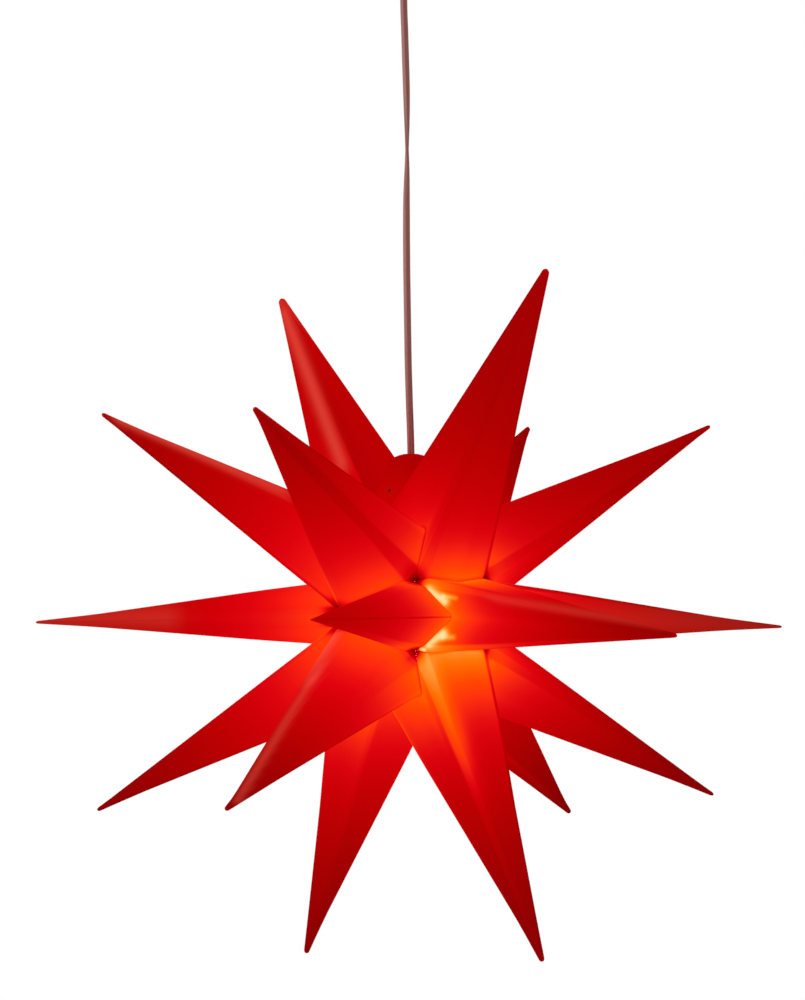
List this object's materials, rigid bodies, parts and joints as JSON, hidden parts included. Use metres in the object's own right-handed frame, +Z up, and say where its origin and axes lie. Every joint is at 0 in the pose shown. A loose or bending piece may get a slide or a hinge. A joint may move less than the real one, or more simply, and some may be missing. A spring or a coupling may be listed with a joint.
{
  "type": "star pendant lamp",
  "caption": "Hanging star lamp of hollow translucent red points with a domed top cap, a screw-in candle lamp inside, a flat twin cord and a ceiling cup.",
  "frame": {"origin": "middle of the ceiling strap's upper face, in the ceiling plane, between its two screw holes", "axes": "+Z up to the ceiling, +X along the strap to the right as the picture sees the lamp, -Y to the front"},
  "size_m": [0.5613, 0.555, 0.8036],
  "materials": {
    "star_red": "satin translucent moulded plastic, lit from inside",
    "cap_red": "satin moulded plastic",
    "white_plastic": "matte",
    "black_plastic": "matte",
    "porcelain": "glazed",
    "clip_steel": "zinc plated",
    "bright_steel": "nickel plated",
    "brass": "satin",
    "lamp_glass": "clear",
    "filament": "glowing",
    "cord_red": "translucent PVC"
  },
  "bodies": {
    "frame": {"middle_point_1": "star_red", "middle_point_2": "star_red", "middle_point_3": "star_red", "middle_point_4": "star_red", "middle_point_5": "star_red", "middle_point_6": "star_red", "upper_point_1": "star_red", "upper_point_2": "star_red", "upper_point_3": "star_red", "upper_point_4": "star_red", "upper_point_5": "star_red", "upper_point_6": "star_red", "lower_point_1": "star_red", "lower_point_2": "star_red", "lower_point_3": "star_red", "lower_point_4": "star_red", "lower_point_5": "star_red", "lower_point_6": "star_red", "seam_clips": "clip_steel", "top_collar": "star_red", "lamp_carrier": "white_plastic", "carrier_screws": "bright_steel", "nipple": "bright_steel", "nipple_nut": "bright_steel", "cord_grip": "white_plastic", "grip_screws": "bright_steel", "holder_cap": "black_plastic", "holder_shell": "black_plastic", "holder_insert": "porcelain", "thread_sleeve": "brass", "centre_contact": "brass", "side_contact": "brass", "terminal_screws": "brass", "inner_wires": "cord_red", "flat_cord": "cord_red", "ceiling_strap": "clip_steel", "ceiling_hook": "clip_steel", "cord_hanger": "white_plastic", "hanger_clamp": "white_plastic", "hanger_screws": "bright_steel", "terminal_block": "white_plastic", "block_screws": "brass"},
    "lamp": {"lamp_glass": "lamp_glass", "lamp_base": "bright_steel", "lamp_insulator": "black_plastic", "lamp_end_contact": "bright_steel", "lamp_stem": "lamp_glass", "lamp_filaments": "filament"},
    "top_cap": {"top_cap": "cap_red", "cap_screw": "black_plastic"},
    "ceiling_cup": {"ceiling_cup": "cap_red", "cup_screw": "bright_steel"}
  },
  "joints": [
    {"name": "lamp_turn", "type": "hinge", "parent": "frame", "child": "lamp", "pos_m": [0.0055, 0, -0.505], "axis": [0, 0, -1], "range_deg": [0, 1080]},
    {"name": "cap_lift", "type": "slide", "parent": "frame", "child": "top_cap", "axis": [0, 0, 1], "range_m": [0, 0.05]},
    {"name": "cup_drop", "type": "slide", "parent": "frame", "child": "ceiling_cup", "axis": [0, 0, -1], "range_m": [0, 0.05]}
  ]
}
